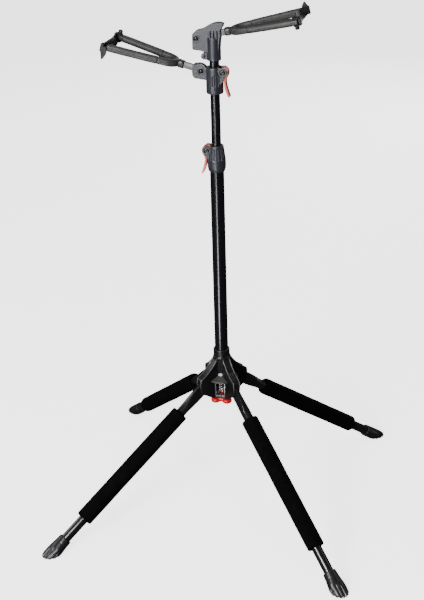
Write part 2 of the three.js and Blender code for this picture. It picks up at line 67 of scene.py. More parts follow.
# ---------------------------------------------------------------- mesh builders: (vertices, faces)
def grid(rings, closed_u=True, wrap=False, caps=True):
    """rings: (m, n, 3). closed_u joins the ends of each ring; wrap joins the last ring to the first."""
    r = np.asarray(rings, float); m, n, _ = r.shape
    f = []
    for i in range(m if wrap else m - 1):
        a0, b0 = i * n, ((i + 1) % m) * n
        for j in range(n if closed_u else n - 1):
            k = (j + 1) % n
            f.append((a0 + j, a0 + k, b0 + k, b0 + j))
    if caps and not wrap:
        f.append(tuple(range(n - 1, -1, -1))); f.append(tuple((m - 1) * n + j for j in range(n)))
    return r.reshape(-1, 3), f
def lathe(prof, n=96):
    """closed ring profile round Z"""
    a = np.linspace(0, 2 * np.pi, n, endpoint=False)
    return grid([[(r * np.cos(t), r * np.sin(t), z) for t in a] for r, z in prof], wrap=True)
def spin(prof, n=64):
    """solid of revolution whose profile starts and ends near the axis"""
    a = np.linspace(0, 2 * np.pi, n, endpoint=False)
    return grid([[(max(r, 1e-3) * np.cos(t), max(r, 1e-3) * np.sin(t), z) for t in a] for r, z in prof])
def plate(pts, y0, y1):
    n = len(pts)
    v = [(x, y0, z) for x, z in pts] + [(x, y1, z) for x, z in pts]
    f = [tuple(range(n)), tuple(range(2 * n - 1, n - 1, -1))] + [(i, n + i, n + (i + 1) % n, (i + 1) % n) for i in range(n)]
    return np.array(v, float), f
def platez(pts, z0, z1):
    v, f = plate(pts, z0, z1)
    return v[:, [0, 2, 1]], f
def box(x0, x1, y0, y1, z0, z1):
    return plate([(x0, z0), (x1, z0), (x1, z1), (x0, z1)], y0, y1)
def cyl(r, a, b, axis="z", at=(0, 0), n=48, r2=None, chamfer=0.0):
    r2 = r if r2 is None else r2
    c = chamfer
    prof = [(0, a), (r - c, a), (r, a + c), (r2, b - c), (r2 - c, b), (0, b)] if c else [(0, a), (r, a), (r2, b), (0, b)]
    v, f = spin(prof, n)
    if axis == "y":
        v = v[:, [0, 2, 1]] + np.array([at[0], 0, at[1]])
    elif axis == "x":
        v = v[:, [2, 0, 1]] + np.array([0, at[0], at[1]])
    else:
        v = v + np.array([at[0], at[1], 0])
    return v, f
def sec(x, hy, hz, p=2.0, n=48):
    t = np.linspace(0, 2 * np.pi, n, endpoint=False); c, s = np.cos(t), np.sin(t)
    return np.stack([np.full(n, float(x)), hy * np.sign(c) * np.abs(c) ** (2 / p), hz * np.sign(s) * np.abs(s) ** (2 / p)], 1)
def smooth_path(pts, n):
    """Catmull-Rom through pts, n samples evenly spaced along it"""
    p = np.array(pts, float); q = np.vstack([2 * p[0] - p[1], p, 2 * p[-1] - p[-2]]); out = []
    for i in range(len(p) - 1):
        for t in np.linspace(0, 1, 40, endpoint=False):
            a, b, c, d = q[i:i + 4]
            out.append(0.5 * ((2 * b) + (-a + c) * t + (2 * a - 5 * b + 4 * c - d) * t * t + (-a + 3 * b - 3 * c + d) * t ** 3))
    out.append(p[-1]); out = np.array(out)
    s = np.concatenate([[0], np.cumsum(np.linalg.norm(np.diff(out, axis=0), axis=1))])
    return np.stack([np.interp(np.linspace(0, s[-1], n), s, out[:, k]) for k in range(out.shape[1])], 1)
def sweep(path, section, up=(0, 0, 1), scale=None, wrap=False):
    """path (m, 3); section list of (lateral, vertical) or a function of the index"""
    p = np.asarray(path, float); up = np.array(up, float); rings = []
    for i in range(len(p)):
        t = p[min(i + 1, len(p) - 1)] - p[max(i - 1, 0)]; t /= np.linalg.norm(t)
        lat = np.cross(up, t); lat /= np.linalg.norm(lat); u = np.cross(t, lat)
        s = np.asarray(section(i) if callable(section) else section, float)
        k = 1 if scale is None else scale(i / (len(p) - 1))
        rings.append(p[i] + k * (s[:, :1] * lat + s[:, 1:2] * u))
    return grid(rings, wrap=wrap)
def ovl(a, b, p=2.0, n=24):
    return sec(0, a, b, p, n)[:, 1:]

def mesh_object(name, parts, voxel=None, smooth=0, factor=0.5, decimate=None, bevel=None, angle=40, subsurf=0):
    vs, fs, k = [], [], 0
    for v, f in parts:
        vs.append(v); fs += [tuple(i + k for i in g) for g in f]; k += len(v)
    me = bpy.data.meshes.new(name)
    me.from_pydata((np.vstack(vs) * MM).tolist(), [], fs)
    me.validate(); me.update()
    bm = bmesh.new(); bm.from_mesh(me)
    bmesh.ops.remove_doubles(bm, verts=bm.verts, dist=1e-6)
    bmesh.ops.recalc_face_normals(bm, faces=bm.faces)
    bm.to_mesh(me); bm.free()
    o = bpy.data.objects.new(name, me); bpy.context.scene.collection.objects.link(o)
    if voxel:
        m = o.modifiers.new("r", "REMESH"); m.mode = "VOXEL"; m.voxel_size = voxel * MM; m.use_smooth_shade = True
    if smooth:
        m = o.modifiers.new("s", "SMOOTH"); m.factor = factor; m.iterations = smooth
    if decimate:
        m = o.modifiers.new("d", "DECIMATE"); m.ratio = decimate
    if bevel:
        m = o.modifiers.new("b", "BEVEL"); m.width = bevel * MM; m.segments = 2; m.limit_method = "ANGLE"; m.angle_limit = rad(35)
        m.harden_normals = False
    if subsurf:
        m = o.modifiers.new("u", "SUBSURF"); m.levels = subsurf; m.render_levels = subsurf
    bake(o)
    if angle is None or voxel:
        for p in o.data.polygons: p.use_smooth = True
    else:
        shade(o, angle)
    return o
def bake(o):
    if o.modifiers:
        bpy.context.view_layer.update()
        dg = bpy.context.evaluated_depsgraph_get()
        me = bpy.data.meshes.new_from_object(o.evaluated_get(dg))
        old = o.data; o.modifiers.clear(); o.data = me; bpy.data.meshes.remove(old)
def shade(o, angle):
    me = o.data
    for p in me.polygons: p.use_smooth = True
    bm = bmesh.new(); bm.from_mesh(me)
    for e in bm.edges:
        e.smooth = not (len(e.link_faces) == 2 and e.calc_face_angle(0) > rad(angle))
    bm.to_mesh(me); bm.free()

# ---------------------------------------------------------------- materials
def nodes_of(name):
    m = bpy.data.materials.new(name); m.use_nodes = True
    nt = m.node_tree; b = nt.nodes["Principled BSDF"]
    tc = nt.nodes.new("ShaderNodeTexCoord")
    return m, nt, b, tc
def noise_node(nt, tc, scale, detail=3, rough=0.55, stretch=None):
    n = nt.nodes.new("ShaderNodeTexNoise"); n.inputs["Scale"].default_value = scale
    n.inputs["Detail"].default_value = detail; n.inputs["Roughness"].default_value = rough
    if stretch:
        mp = nt.nodes.new("ShaderNodeMapping"); mp.inputs["Scale"].default_value = stretch
        nt.links.new(tc.outputs["Object"], mp.inputs["Vector"]); nt.links.new(mp.outputs["Vector"], n.inputs["Vector"])
    else:
        nt.links.new(tc.outputs["Object"], n.inputs["Vector"])
    return n
def ramp(nt, src, stops):
    r = nt.nodes.new("ShaderNodeValToRGB")
    while len(r.color_ramp.elements) < len(stops): r.color_ramp.elements.new(0.5)
    for e, (p, c) in zip(r.color_ramp.elements, stops):
        e.position = p; e.color = (*c, 1) if len(c) == 3 else c
    nt.links.new(src, r.inputs["Fac"])
    return r
def surface(name, color, color2, rough=(0.35, 0.5), metallic=0.0, grain=900, bump=0.15, bump_d=0.00006, stretch=None,
            coat=0.0, coat_rough=0.1, specular=0.5, edge_highlight=None, patch=35, sheen=0.0, grain_detail=3, aniso=0.0):
    m, nt, b, tc = nodes_of(name)
    big = noise_node(nt, tc, patch, 4, 0.6)
    col = ramp(nt, big.outputs["Fac"], [(0.3, color), (0.7, color2)])
    out = col.outputs["Color"]
    # painted highlight: edges found by pointiness, broken up by fine noise, are mixed toward a lighter colour that
    # stands in for the glint on ridges and outlines
    if edge_highlight:
        geo = nt.nodes.new("ShaderNodeNewGeometry")
        pr = ramp(nt, geo.outputs["Pointiness"], [(0.515, (0, 0, 0)), (0.56, (1, 1, 1))])
        fine = noise_node(nt, tc, 260, 4, 0.7)
        mul = nt.nodes.new("ShaderNodeMath"); mul.operation = "MULTIPLY"; mul.use_clamp = True
        nt.links.new(pr.outputs["Color"], mul.inputs[0]); nt.links.new(fine.outputs["Fac"], mul.inputs[1])
        mix = nt.nodes.new("ShaderNodeMix"); mix.data_type = "RGBA"
        nt.links.new(mul.outputs[0], mix.inputs["Factor"]); nt.links.new(out, mix.inputs["A"]); mix.inputs["B"].default_value = (*edge_highlight, 1)
        out = mix.outputs["Result"]
    nt.links.new(out, b.inputs["Base Color"])
    g = noise_node(nt, tc, grain, grain_detail, 0.6, stretch)
    rr = nt.nodes.new("ShaderNodeMapRange"); rr.inputs["To Min"].default_value = rough[0]; rr.inputs["To Max"].default_value = rough[1]
    rr.inputs["From Min"].default_value = 0.3; rr.inputs["From Max"].default_value = 0.7
    nt.links.new(g.outputs["Fac"], rr.inputs["Value"]); nt.links.new(rr.outputs["Result"], b.inputs["Roughness"])
    bp = nt.nodes.new("ShaderNodeBump"); bp.inputs["Strength"].default_value = bump; bp.inputs["Distance"].default_value = bump_d
    nt.links.new(g.outputs["Fac"], bp.inputs["Height"]); nt.links.new(bp.outputs["Normal"], b.inputs["Normal"])
    b.inputs["Metallic"].default_value = metallic
    b.inputs["Specular IOR Level"].default_value = specular
    b.inputs["Coat Weight"].default_value = coat; b.inputs["Coat Roughness"].default_value = coat_rough
    if sheen:
        b.inputs["Sheen Weight"].default_value = sheen; b.inputs["Sheen Roughness"].default_value = 0.5
    if aniso:
        b.inputs["Anisotropic"].default_value = aniso
    return m

# the lighter edge colours given to the cage, hub, head, lever and knob below are painted highlights along their edges
M = {
    # lighter grey for the ridge rims: a painted highlight on the black hub
    "rim_painted_highlight": surface("hub_rim_painted_highlight", (0.055, 0.055, 0.058), (0.085, 0.085, 0.088), (0.22, 0.32), grain=1200, bump=0.1, specular=0.9),
    "cage": surface("cage_plate", (0.05, 0.05, 0.052), (0.09, 0.09, 0.092), (0.2, 0.32), metallic=0.8, grain=900, bump=0.1, edge_highlight=(0.5, 0.5, 0.5)),
    "hub": surface("hub_plastic", (0.0035, 0.0035, 0.004), (0.007, 0.007, 0.0075), (0.30, 0.40), grain=1400, bump=0.12, edge_highlight=(0.05, 0.05, 0.05), specular=0.4),
    # the ledge is the hub's black plastic in a lighter grey: painted light, as if lit from above
    "ledge": surface("hub_ledge_painted_light", (0.030, 0.029, 0.028), (0.044, 0.042, 0.040), (0.4, 0.55), grain=1400, bump=0.15, specular=0.45),
    "tube": surface("mast_paint", (0.002, 0.002, 0.003), (0.004, 0.004, 0.006), (0.17, 0.23), grain=500, bump=0.04, specular=0.6),
    "leg": surface("leg_paint", (0.004, 0.004, 0.005), (0.008, 0.008, 0.009), (0.15, 0.22), grain=500, bump=0.05, specular=0.9),
    "foam": surface("foam_skin", (0.0012, 0.0012, 0.0013), (0.0026, 0.0026, 0.0027), (0.86, 0.98), grain=1500, bump=0.9, bump_d=0.00035, specular=0.05, grain_detail=6, patch=60),
    "boot": surface("boot_rubber", (0.006, 0.006, 0.007), (0.013, 0.013, 0.015), (0.28, 0.40), grain=1100, bump=0.3, bump_d=0.0001, specular=0.5),
    "head": surface("head_nylon", (0.013, 0.0145, 0.021), (0.019, 0.021, 0.029), (0.32, 0.42), grain=1600, bump=0.35, bump_d=0.00012, edge_highlight=(0.10, 0.10, 0.12), specular=0.55),
    "lever": surface("lever_red", (0.60, 0.085, 0.060), (0.70, 0.12, 0.085), (0.42, 0.55), grain=1200, bump=0.15, edge_highlight=(0.85, 0.35, 0.28), specular=0.5),
    "knob": surface("knob_red", (0.46, 0.003, 0.006), (0.56, 0.006, 0.010), (0.28, 0.38), grain=1000, bump=0.12, specular=0.5, edge_highlight=(0.8, 0.12, 0.1)),
    "steel": surface("plated_steel", (0.52, 0.52, 0.54), (0.62, 0.62, 0.63), (0.16, 0.28), metallic=1.0, grain=700, bump=0.08, stretch=(1, 1, 0.1)),
    "bolt": surface("black_bolt", (0.0015, 0.0015, 0.002), (0.004, 0.004, 0.005), (0.2, 0.28), grain=900, bump=0.04, specular=0.4),
    "dark": surface("black_oxide", (0.012, 0.012, 0.013), (0.022, 0.022, 0.022), (0.25, 0.4), metallic=0.4, grain=900, bump=0.15, edge_highlight=None),
    "pad": surface("yoke_rubber", (0.021, 0.0205, 0.0205), (0.033, 0.032, 0.032), (0.40, 0.54), grain=1300, bump=0.45, bump_d=0.00016, specular=0.42),
    "strap": surface("strap_rubber", (0.004, 0.004, 0.0035), (0.011, 0.0105, 0.009), (0.42, 0.58), grain=1100, bump=0.3, bump_d=0.0001, specular=0.35),
    "shank": surface("satin_metal", (0.085, 0.085, 0.092), (0.12, 0.12, 0.128), (0.36, 0.5), metallic=0.35, grain=500, bump=0.12, stretch=(0.08, 1, 1)),
    "badge": surface("plain_disc", (0.24, 0.24, 0.25), (0.30, 0.30, 0.31), (0.35, 0.45), metallic=0.2, grain=900, bump=0.1),
}
def finish_piece(o, body, mat, *nodes):
    o.data.materials.clear(); o.data.materials.append(M[mat])
    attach(o, body)
    if nodes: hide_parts(*nodes)
    return o
BODY = {n: b for b, ns in frame["record"]["behaviour"]["bodies"].items() for n in ns}
def refined(node, mat, bevel=0.35, angle=32):
    """the CAD node's own shape with broken edges"""
    o = bpy.data.objects.new(node + "_fine", frame["nodes"][node].data.copy())
    bpy.context.scene.collection.objects.link(o)
    bm = bmesh.new(); bm.from_mesh(o.data)
    bmesh.ops.remove_doubles(bm, verts=bm.verts, dist=2e-6)
    bmesh.ops.dissolve_limit(bm, angle_limit=rad(1.0), verts=bm.verts, edges=bm.edges)
    bm.to_mesh(o.data); bm.free()
    m = o.modifiers.new("b", "BEVEL"); m.width = bevel * MM; m.segments = 2; m.limit_method = "ANGLE"; m.angle_limit = rad(angle)
    bake(o); shade(o, 35)
    return finish_piece(o, BODY[node], mat, node)

AZ = {"FR": -45, "FL": -135, "RR": 45, "RL": 135}
BETA = 36.21

# ---------------------------------------------------------------- hub
armtop = [(17.5, 366), (18.6, 363), (20.5, 359), (23.6, 353.5), (27.2, 348.3), (31.5, 343.2), (36.5, 338), (42, 332.6), (48, 327.6), (54, 323.5), (58, 321)]
armend = [(60, 318.6), (61.3, 314.5), (62, 300), (60.8, 291), (58.5, 285)]
ceil_c = (40, 304.4); rC = 14.3; sB, cB = math.sin(rad(BETA)), math.cos(rad(BETA))
ceiling = [(ceil_c[0] + rC * math.cos(rad(a)), ceil_c[1] + rC * math.sin(rad(a))) for a in np.linspace(180, 90 - BETA, 14)]
lip = (ceiling[-1][0] + 16.4 * cB, ceiling[-1][1] - 16.4 * sB)
parts = [lathe([(15.3, 328), (15.3, 385), (17.2, 385), (18.0, 384.3), (18.4, 383), (18.5, 373), (18.7, 367.2), (19.5, 366.6), (19.9, 365.6), (19.9, 362.5), (19.2, 360), (18.2, 350), (16.6, 334), (15.9, 328)], 96),
         cyl(15.9, 308, 332, n=96)]
rims = []
for az in AZ.values():
    z = R("Z", az)
    a = [plate(armtop + armend + [(36, 270), (30, 266), (25.7, 266), (25.7, 308), (8, 308), (8, 366)], y0, y1) for y0, y1 in ((-8.6, -5.3), (5.3, 8.6))]
    a.append(plate(armtop + [(60, 318.6), (61.3, 314.5), (61.6, 308)] + [lip] + ceiling[::-1] + [(25.7, 308), (8, 308), (8, 366)], -5.4, 5.4))
    # raised rims along both top edges, in a lighter grey than the hub that paints the highlight on the ridges, and two
    # short ribs near the end
    rp_ = [(18.9, 8.0, 364.5), (20.6, 8.1, 359.4), (23.8, 8.2, 354.0), (27.5, 8.25, 348.8), (31.9, 8.25, 343.8), (37.0, 8.25, 338.5), (42.5, 8.25, 333.2), (48.5, 8.25, 328.2), (54.4, 8.25, 324.1), (58.3, 8.2, 321.4),
           (60.6, 8.1, 318.6), (61.7, 8.0, 314), (62.1, 7.9, 305), (61.6, 7.7, 297)]
    for s in (-1, 1):
        path = smooth_path([(x, s * y, zz) for x, y, zz in rp_], 70)
        rims.append(move(sweep(path, ovl(1.0, 1.0, n=14), up=(0, 1, 0.001), scale=lambda u: 0.35 + 0.65 * min(1, u * 9, (1 - u) * 6)), z))
    for y in (-2.7, 2.7):
        rib = [(38.5, 336.4), (40, 336.2), (42.3, 333.6), (48.3, 328.6), (54.2, 324.5), (55.4, 322.3), (50, 322), (40, 332)]
        a.append(plate(rib, y - 0.75, y + 0.75))
    parts += [move(p, z) for p in a]
ledges = []
for q in range(4):
    c = q * 90
    # sloping ledge between two arms, coloured lighter than the hub plastic as painted light from above
    prof = [(14, 308), (33, 309.2), (35.8, 309.8), (36.3, 311.3), (35.6, 312.8), (31, 314.8), (24, 317.8), (18, 321.2), (14, 323)]
    rings = []
    for t in np.linspace(-1, 1, 22):
        rings.append([(r * math.cos(rad(c) + t * (math.pi / 4 - math.asin(min(1, 7.6 / r)))), r * math.sin(rad(c) + t * (math.pi / 4 - math.asin(min(1, 7.6 / r)))), zz) for r, zz in prof])
    ledges.append(grid(rings))
    # moulding seam down the valley
    parts.append(move(plate([(17.5, 360), (19.6, 358), (17.3, 334), (16.6, 327), (14, 327), (14, 360)], -0.55, 0.55), R("Z", c)))
hub = mesh_object("hub_shell", parts, voxel=0.62, smooth=5, decimate=0.35)
finish_piece(hub, "stand", "hub", "hub_body")
finish_piece(mesh_object("hub_rims", rims, angle=60), "stand", "rim_painted_highlight")
finish_piece(mesh_object("hub_ledges", ledges, bevel=0.5, angle=40), "stand", "ledge")
# plain round badge on the front valley (generic)
for q in (-90, 90):
    b = mesh_object("hub_badge_front" if q < 0 else "hub_badge_back", [move(move(move(cyl(3.1, -0.8, 0.7, n=48, chamfer=0.3), np.diag([1.0, 1.75, 1.0, 1.0])), R("Y", 66)), R("Z", q) @ T(17.2, 0, 323.6))])
    finish_piece(b, "stand", "badge")

refined("lock_cage", "cage", 0.3)
refined("hub_base", "dark", 0.3)
refined("lock_plunger", "steel", 0.35)
for k in AZ:
    refined(f"base_screw_{k}", "steel", 0.25)
    p = mesh_object(f"pivot_pin_{k}_fine", [move(cyl(4, -8.6, 8.6, "y", (40, 304.4), n=40, chamfer=0.5), R("Z", AZ[k]))])
    finish_piece(p, "stand", "dark", f"pivot_pin_{k}")
# return spring
n = 5 * 40
hel = np.array([(7.3 * math.cos(2 * math.pi * i / 40), 7.3 * math.sin(2 * math.pi * i / 40), 271.6 + 30 * i / n) for i in range(n + 1)])
finish_piece(mesh_object("return_spring_coil", [sweep(hel, ovl(0.7, 0.7, n=12))], angle=60), "stand", "steel", "lock_spring")
# release knob
parts = [spin([(0, 250.9), (9, 251.1), (14.5, 252.2), (18.6, 255.2), (19.2, 258.5), (18, 262), (14.5, 263.7), (0, 263.9)], 64), cyl(5.85, 262, 274, n=48), cyl(5.85, 273.9, 281, n=48, r2=4.9)]
for az in AZ.values():
    rings = []
    for x in np.linspace(5, 29.6, 20):
        u = (x - 5) / 24.6
        w = 10.9 * math.sqrt(max(0.0, 1 - max(0, (u - 0.55) / 0.452) ** 2.2)) * (0.93 + 0.1 * math.sin(u * 2.5)); h = 6.5 * math.sqrt(max(0.02, 1 - max(0, (u - 0.6) / 0.42) ** 2.4))
        s = sec(x, max(w, 0.8), max(h, 0.8), 2.4, 40); s[:, 2] += 256.9 - 0.6 * u; s[:, 2] = np.minimum(s[:, 2], 263.8)
        rings.append(s)
    parts.append(move(grid(rings), R("Z", az)))
finish_piece(mesh_object("release_knob_shell", parts, voxel=0.5, smooth=6, decimate=0.5), "knob", "knob", "release_knob")

# ---------------------------------------------------------------- legs
rng = np.random.default_rng(7)
for k, az in AZ.items():
    L = R("Z", az) @ T(40, 0, 304.4) @ R("Y", BETA)
    st = []
    for x in [-14, -13.8, -13.2, -12.2, -10.8, -9, -6.5, -3.5, 0]:
        st.append((x, 5.0, max(1.0, math.sqrt(max(0, 196 - x * x))), 9))
    st += [(12, 5.0, 14.0, 9), (24, 5.0, 14.0, 9), (33, 5.05, 13.95, 8), (40, 5.6, 13.8, 6), (47, 6.6, 13.4, 4.4), (54, 8.0, 12.8, 3.3), (62, 9.7, 12.0, 2.6), (69, 10.8, 11.35, 2.15), (76, 11.1, 11.1, 2)]
    st += [(x, 11.1, 11.1, 2) for x in np.linspace(90, 489.6, 12)]
    outer = [sec(*s, n=72) for s in st]
    inner = [sec(x, 9.6, 9.6, 2, 72) for x in (489.6, 82)]
    v, f = grid(outer + inner)
    finish_piece(mesh_object(f"leg_tube_{k}_fine", [move((v, f), L)], angle=50), f"leg_{k}", "leg", f"leg_tube_{k}")
    # foam sleeve: closed-cell tube, softly rounded ends, small dents
    s0 = 90.2 + (15.6 if k == "RL" else 0); s1 = s0 + 319.9; seed = {"FR": 3.1, "FL": 11.7, "RR": 23.9, "RL": 37.3}[k]
    N = 72; th = np.linspace(0, 2 * np.pi, N, endpoint=False); rings = []
    prof = [(s0 + 0.2, 11.7), (s0, 13.0), (s0 + 0.1, 16.6), (s0 + 0.9, 18.2), (s0 + 2.4, 19.0)]
    body = [(x, 19.25) for x in np.linspace(s0 + 5, s1 - 5, 100)]
    prof2 = prof + body + [(s1 - (a - s0), r) for a, r in prof[::-1]]
    for x, r in prof2:
        rr = np.array([r + (0.32 * noise.noise(Vector((x * 0.018, math.cos(t) * 0.8 + seed, math.sin(t) * 0.8))) + 0.12 * noise.noise(Vector((x * 0.11, math.cos(t) * 2.6 - seed, math.sin(t) * 2.6))) - 0.12 if r > 15 else 0) for t in th])
        rings.append(np.stack([np.full(N, x), rr * np.cos(th), rr * np.sin(th)], 1))
    fo = mesh_object(f"foam_{k}", [move(grid(rings, wrap=True), L)], angle=None)
    finish_piece(fo, f"leg_{k}", "foam", f"foam_sleeve_{k}")
    # rubber boot with grip ribs, trimmed level at the sole
    t0 = 467.9; rings = []
    stb = [(0, 14.5, 14.5, 2), (16, 16, 14.5, 2.1), (33, 18.9, 14.5, 2.2), (44, 19.5, 14.5, 2.2), (54, 18.6, 14.4, 2.2), (61, 16, 13.9, 2.1), (66, 11.5, 12.4, 2), (69, 5, 9, 2)]
    xs = [s[0] for s in stb]
    def boot_at(x):
        return [float(np.interp(x, xs, [s[i] for s in stb])) for i in (1, 2, 3)]
    NB = 160; tb = np.linspace(0, 2 * np.pi, NB, endpoint=False)
    for x in np.concatenate([[0, 0.4], np.linspace(1.2, 69, 100)]):
        hy, hz, p = boot_at(x)
        if x < 0.3: hy -= 0.9; hz -= 0.9
        elif x < 1: hy -= 0.25; hz -= 0.25
        s = sec(t0 + x, hy, hz, p, NB)
        # long ribs that fade in below the cuff and run round the toe
        fade = min(1, max(0, (x - 27) / 14)) * min(1, max(0, (68.5 - x) / 4))
        rib = 1.9 * fade * np.clip(0.5 + 0.9 * np.cos(tb * 14), 0, 1)
        s[:, 1:] *= (1 - (1.9 * fade - rib) / np.maximum(8, np.linalg.norm(s[:, 1:], axis=1)))[:, None]
        if 12.5 < x < 15.5: s[:, 1:] *= 0.985
        rings.append(s)
    inner = [sec(t0 + a, 11.4, 11.4, 2, NB) for a in (24.6, 0.4)]
    v, f = grid([inner[0], inner[1]] + rings, caps=True)
    o = mesh_object(f"boot_{k}_fine", [move((v, f), L)], angle=55)
    bm = bmesh.new(); bm.from_mesh(o.data)
    g = bmesh.ops.bisect_plane(bm, geom=bm.verts[:] + bm.edges[:] + bm.faces[:], plane_co=(0, 0, 0.0), plane_no=(0, 0, -1), clear_outer=True)
    ed = [e for e in g["geom_cut"] if isinstance(e, bmesh.types.BMEdge)]
    bmesh.ops.edgeloop_fill(bm, edges=ed) if ed else None
    bmesh.ops.recalc_face_normals(bm, faces=bm.faces)
    bm.to_mesh(o.data); bm.free(); shade(o, 48)
    finish_piece(o, f"leg_{k}", "boot", f"boot_{k}")

# ---------------------------------------------------------------- mast tubes
def tube(name, ro, ri, z0, z1, body, node):
    o = mesh_object(name, [lathe([(ri, z0 + 0.3), (ri + 0.3, z0), (ro - 0.4, z0), (ro, z0 + 0.4), (ro, z1 - 0.4), (ro - 0.4, z1), (ri + 0.3, z1), (ri, z1 - 0.3)], 128)], angle=30)
    return finish_piece(o, body, "tube", node)
tube("lower_tube_fine", 15, 13.5, 332.3, 828, "stand", "lower_tube")
tube("upper_tube_fine", 10, 8.5, 710, 1080, "mast", "upper_tube")
for n in ("guide_bush", "tube_foot", "lower_sleeve"): refined(n, "dark", 0.3)

# ---------------------------------------------------------------- levers, ears, pins
SWELL = [(0, 0), (3, 8.1), (5.4, 8.0), (7.8, 7.0), (9.8, 4.6), (10.9, 1), (11, -2), (10.4, -5.5), (9.0, -9.5), (7.2, -13), (3, -13), (0, -8)]
TAIL = [(7.0, -12.4), (6.1, -16), (5.6, -19), (5.5, -22), (6.3, -27), (7.3, -32), (8.4, -36.5), (9.7, -40.8), (11.1, -45), (12.6, -49), (13.2, -51), (12.8, -52.4), (11.6, -53), (10.3, -52.6),
        (8.8, -50.6), (7.2, -47.2), (5.0, -41.5), (3.2, -35.8), (2.0, -30), (1.35, -24.5), (1.15, -19), (1.1, -12), (1.5, -6), (6, -6)]
def lever(name, sign, px, pz, extra, body, node):
    def m(pts):
        a = rad(extra)
        return [(px + sign * (u * math.cos(a) - w * math.sin(a)), pz + u * math.sin(a) + w * math.cos(a)) for u, w in pts]
    drum = cyl(8.6, -8.7, 8.7, "y", (px, pz), n=80)
    parts = [drum, plate(m(SWELL), -8.7, 8.7), plate(m(TAIL), -7, 7)]
    o = mesh_object(name, parts, voxel=0.4, smooth=7, decimate=0.5)
    return finish_piece(o, body, "lever", node)
lever("clutch_lever_fine", -1, -19.1, 852.5, 0, "clutch_lever", "clutch_lever")
lever("lower_lever_fine", 1, 19.1, 1019.3, 0, "lower_lever", "lower_lever")
def pin(name, px, pz, body, node, mat="bolt", r=5.4, yh=-13.9):
    # pan head with a hex socket at the front, nut at the back
    head = []
    prof = [(0, 0), (0, 0)]
    v = []
    hexr = [(2.3 / math.cos(rad((a % 60) - 30))) * 0.88 for a in range(0, 360, 10)]
    ang = [rad(a) for a in range(0, 360, 10)]
    def ringr(rad_list, y): return [(px + q * math.cos(a), y, pz + q * math.sin(a)) for q, a in zip(rad_list, ang)]
    c = lambda q: [q] * 36
    rings = [ringr(c(0.01), yh + 1.2), ringr(hexr, yh + 1.2), ringr(hexr, yh - 0.02), ringr([h + 0.35 for h in hexr], yh - 0.1), ringr(c(r * 0.78), yh + 0.02), ringr(c(r * 0.95), yh + 0.35), ringr(c(r), yh + 0.8),
             ringr(c(r), yh + 1.35), ringr(c(3), yh + 1.4), ringr(c(3), 12.8), ringr(c(0.01), 12.8)]
    nut = cyl(4.6, 12.6, 14.4, "y", (px, pz), n=6)
    o = mesh_object(name, [grid(rings), nut], bevel=0.12, angle=40)
    return finish_piece(o, body, mat, node)
pin("clutch_pin_fine", -19.1, 852.5, "stand", "clutch_pin")
pin("lower_lever_pin_fine", 19.1, 1019.3, "lower_head", "lower_lever_pin")

def circle(px, pz, r, a0, a1, n):
    return [(px + r * math.cos(rad(a)), pz + r * math.sin(rad(a))) for a in np.linspace(a0, a1, n)]
def ear_parts(sign, px, pz, tipx, tipz):
    out = []
    # rounded boss running down into a tapering cheek
    arc = circle(0, 0, 9.5, 95, -28, 18)
    pts = [(px + sign * x, pz + z) for x, z in arc] + [(tipx, tipz), (sign * 9, tipz), (sign * 9, pz + 9.3)]
    for s in (-1, 1):
        y0, y1 = (9.0, 12.3) if s > 0 else (-12.3, -9.0)
        out += [plate(pts, y0, y1)]
        yy = (12.2, 12.95) if s > 0 else (-12.95, -12.2)
        v, f = lathe([(6.2, yy[0]), (9.5, yy[0]), (9.5, yy[1]), (6.2, yy[1])], 72)
        out.append((v[:, [0, 2, 1]] + np.array([px, 0, pz]), f))
    return out
def collar(zs, rout, rin, cut=None, n=288):
    """ring wall whose outer radius is rout(angle in degrees, z); rin(z) is the bore"""
    a = np.linspace(-180, 180, n, endpoint=False)
    outer = [[(rout(t, z) * math.cos(rad(t)), rout(t, z) * math.sin(rad(t)), z) for t in a] for z in zs]
    inner = [[(rin(z) * math.cos(rad(t)), rin(z) * math.sin(rad(t)), z) for t in a] for z in zs[::-1]]
    return grid(outer + inner, wrap=True)
def pocket(t, z, px, pz, sign):
    """largest radius that keeps clear of the lever drum's pocket"""
    d = abs(((t - (0 if sign > 0 else 180)) + 180) % 360 - 180)
    if d > 60: return 99
    c, s = math.cos(rad(d)), math.sin(rad(d))
    lim = 99
    dz = z - pz
    if abs(dz) < 9: lim = (19.1 - math.sqrt(81 - dz * dz)) / c
    if 0 <= dz < 40: lim = 9.0 / c
    if lim < 99 and lim * s > 9.0: return 99 if 9.0 / max(s, 1e-6) > 40 else max(lim, 9.0 / max(s, 1e-6))
    return max(lim, 10.34)
def smoothstep(x, a, b):
    t = min(1, max(0, (x - a) / (b - a))); return t * t * (3 - 2 * t)

# ---------------------------------------------------------------- mid clutch
zp = [805.5, 806.2, 809, 812.2, 813.4, 816, 830, 841, 861.0, 862.0, 862.4]
rp = [16.3, 17.0, 18.0, 19.1, 19.35, 19.45, 19.6, 18.1, 15.5, 15.0, 14.5]
def clutch_r(t, z):
    r = float(np.interp(z, zp, rp))
    g = 0.0
    d180 = abs((t % 360) - 180)
    if d180 > 52:
        ph = ((t + 90 + 360) % 23) - 11.5
        w = smoothstep(4.4 - abs(ph), 0, 2.2)
        g = 2.1 * w * smoothstep(z, 831.5, 835) * (1 - smoothstep(z, 855.5, 858.5))
    return min(r - g, pocket(t, z, -19.1, 852.5, -1))
zs = np.unique(np.concatenate([[805.5, 806.2], np.linspace(807, 830, 16), np.linspace(831, 862, 63), [862.4]]))
parts = [collar(list(zs), clutch_r, lambda z: 15.3 if z < 828.3 else 10.3)] + ear_parts(-1, -19.1, 852.5, -15.6, 830.8)
finish_piece(mesh_object("clutch_collar_fine", parts, voxel=0.4, smooth=4, decimate=0.4), "stand", "head", "clutch_collar")

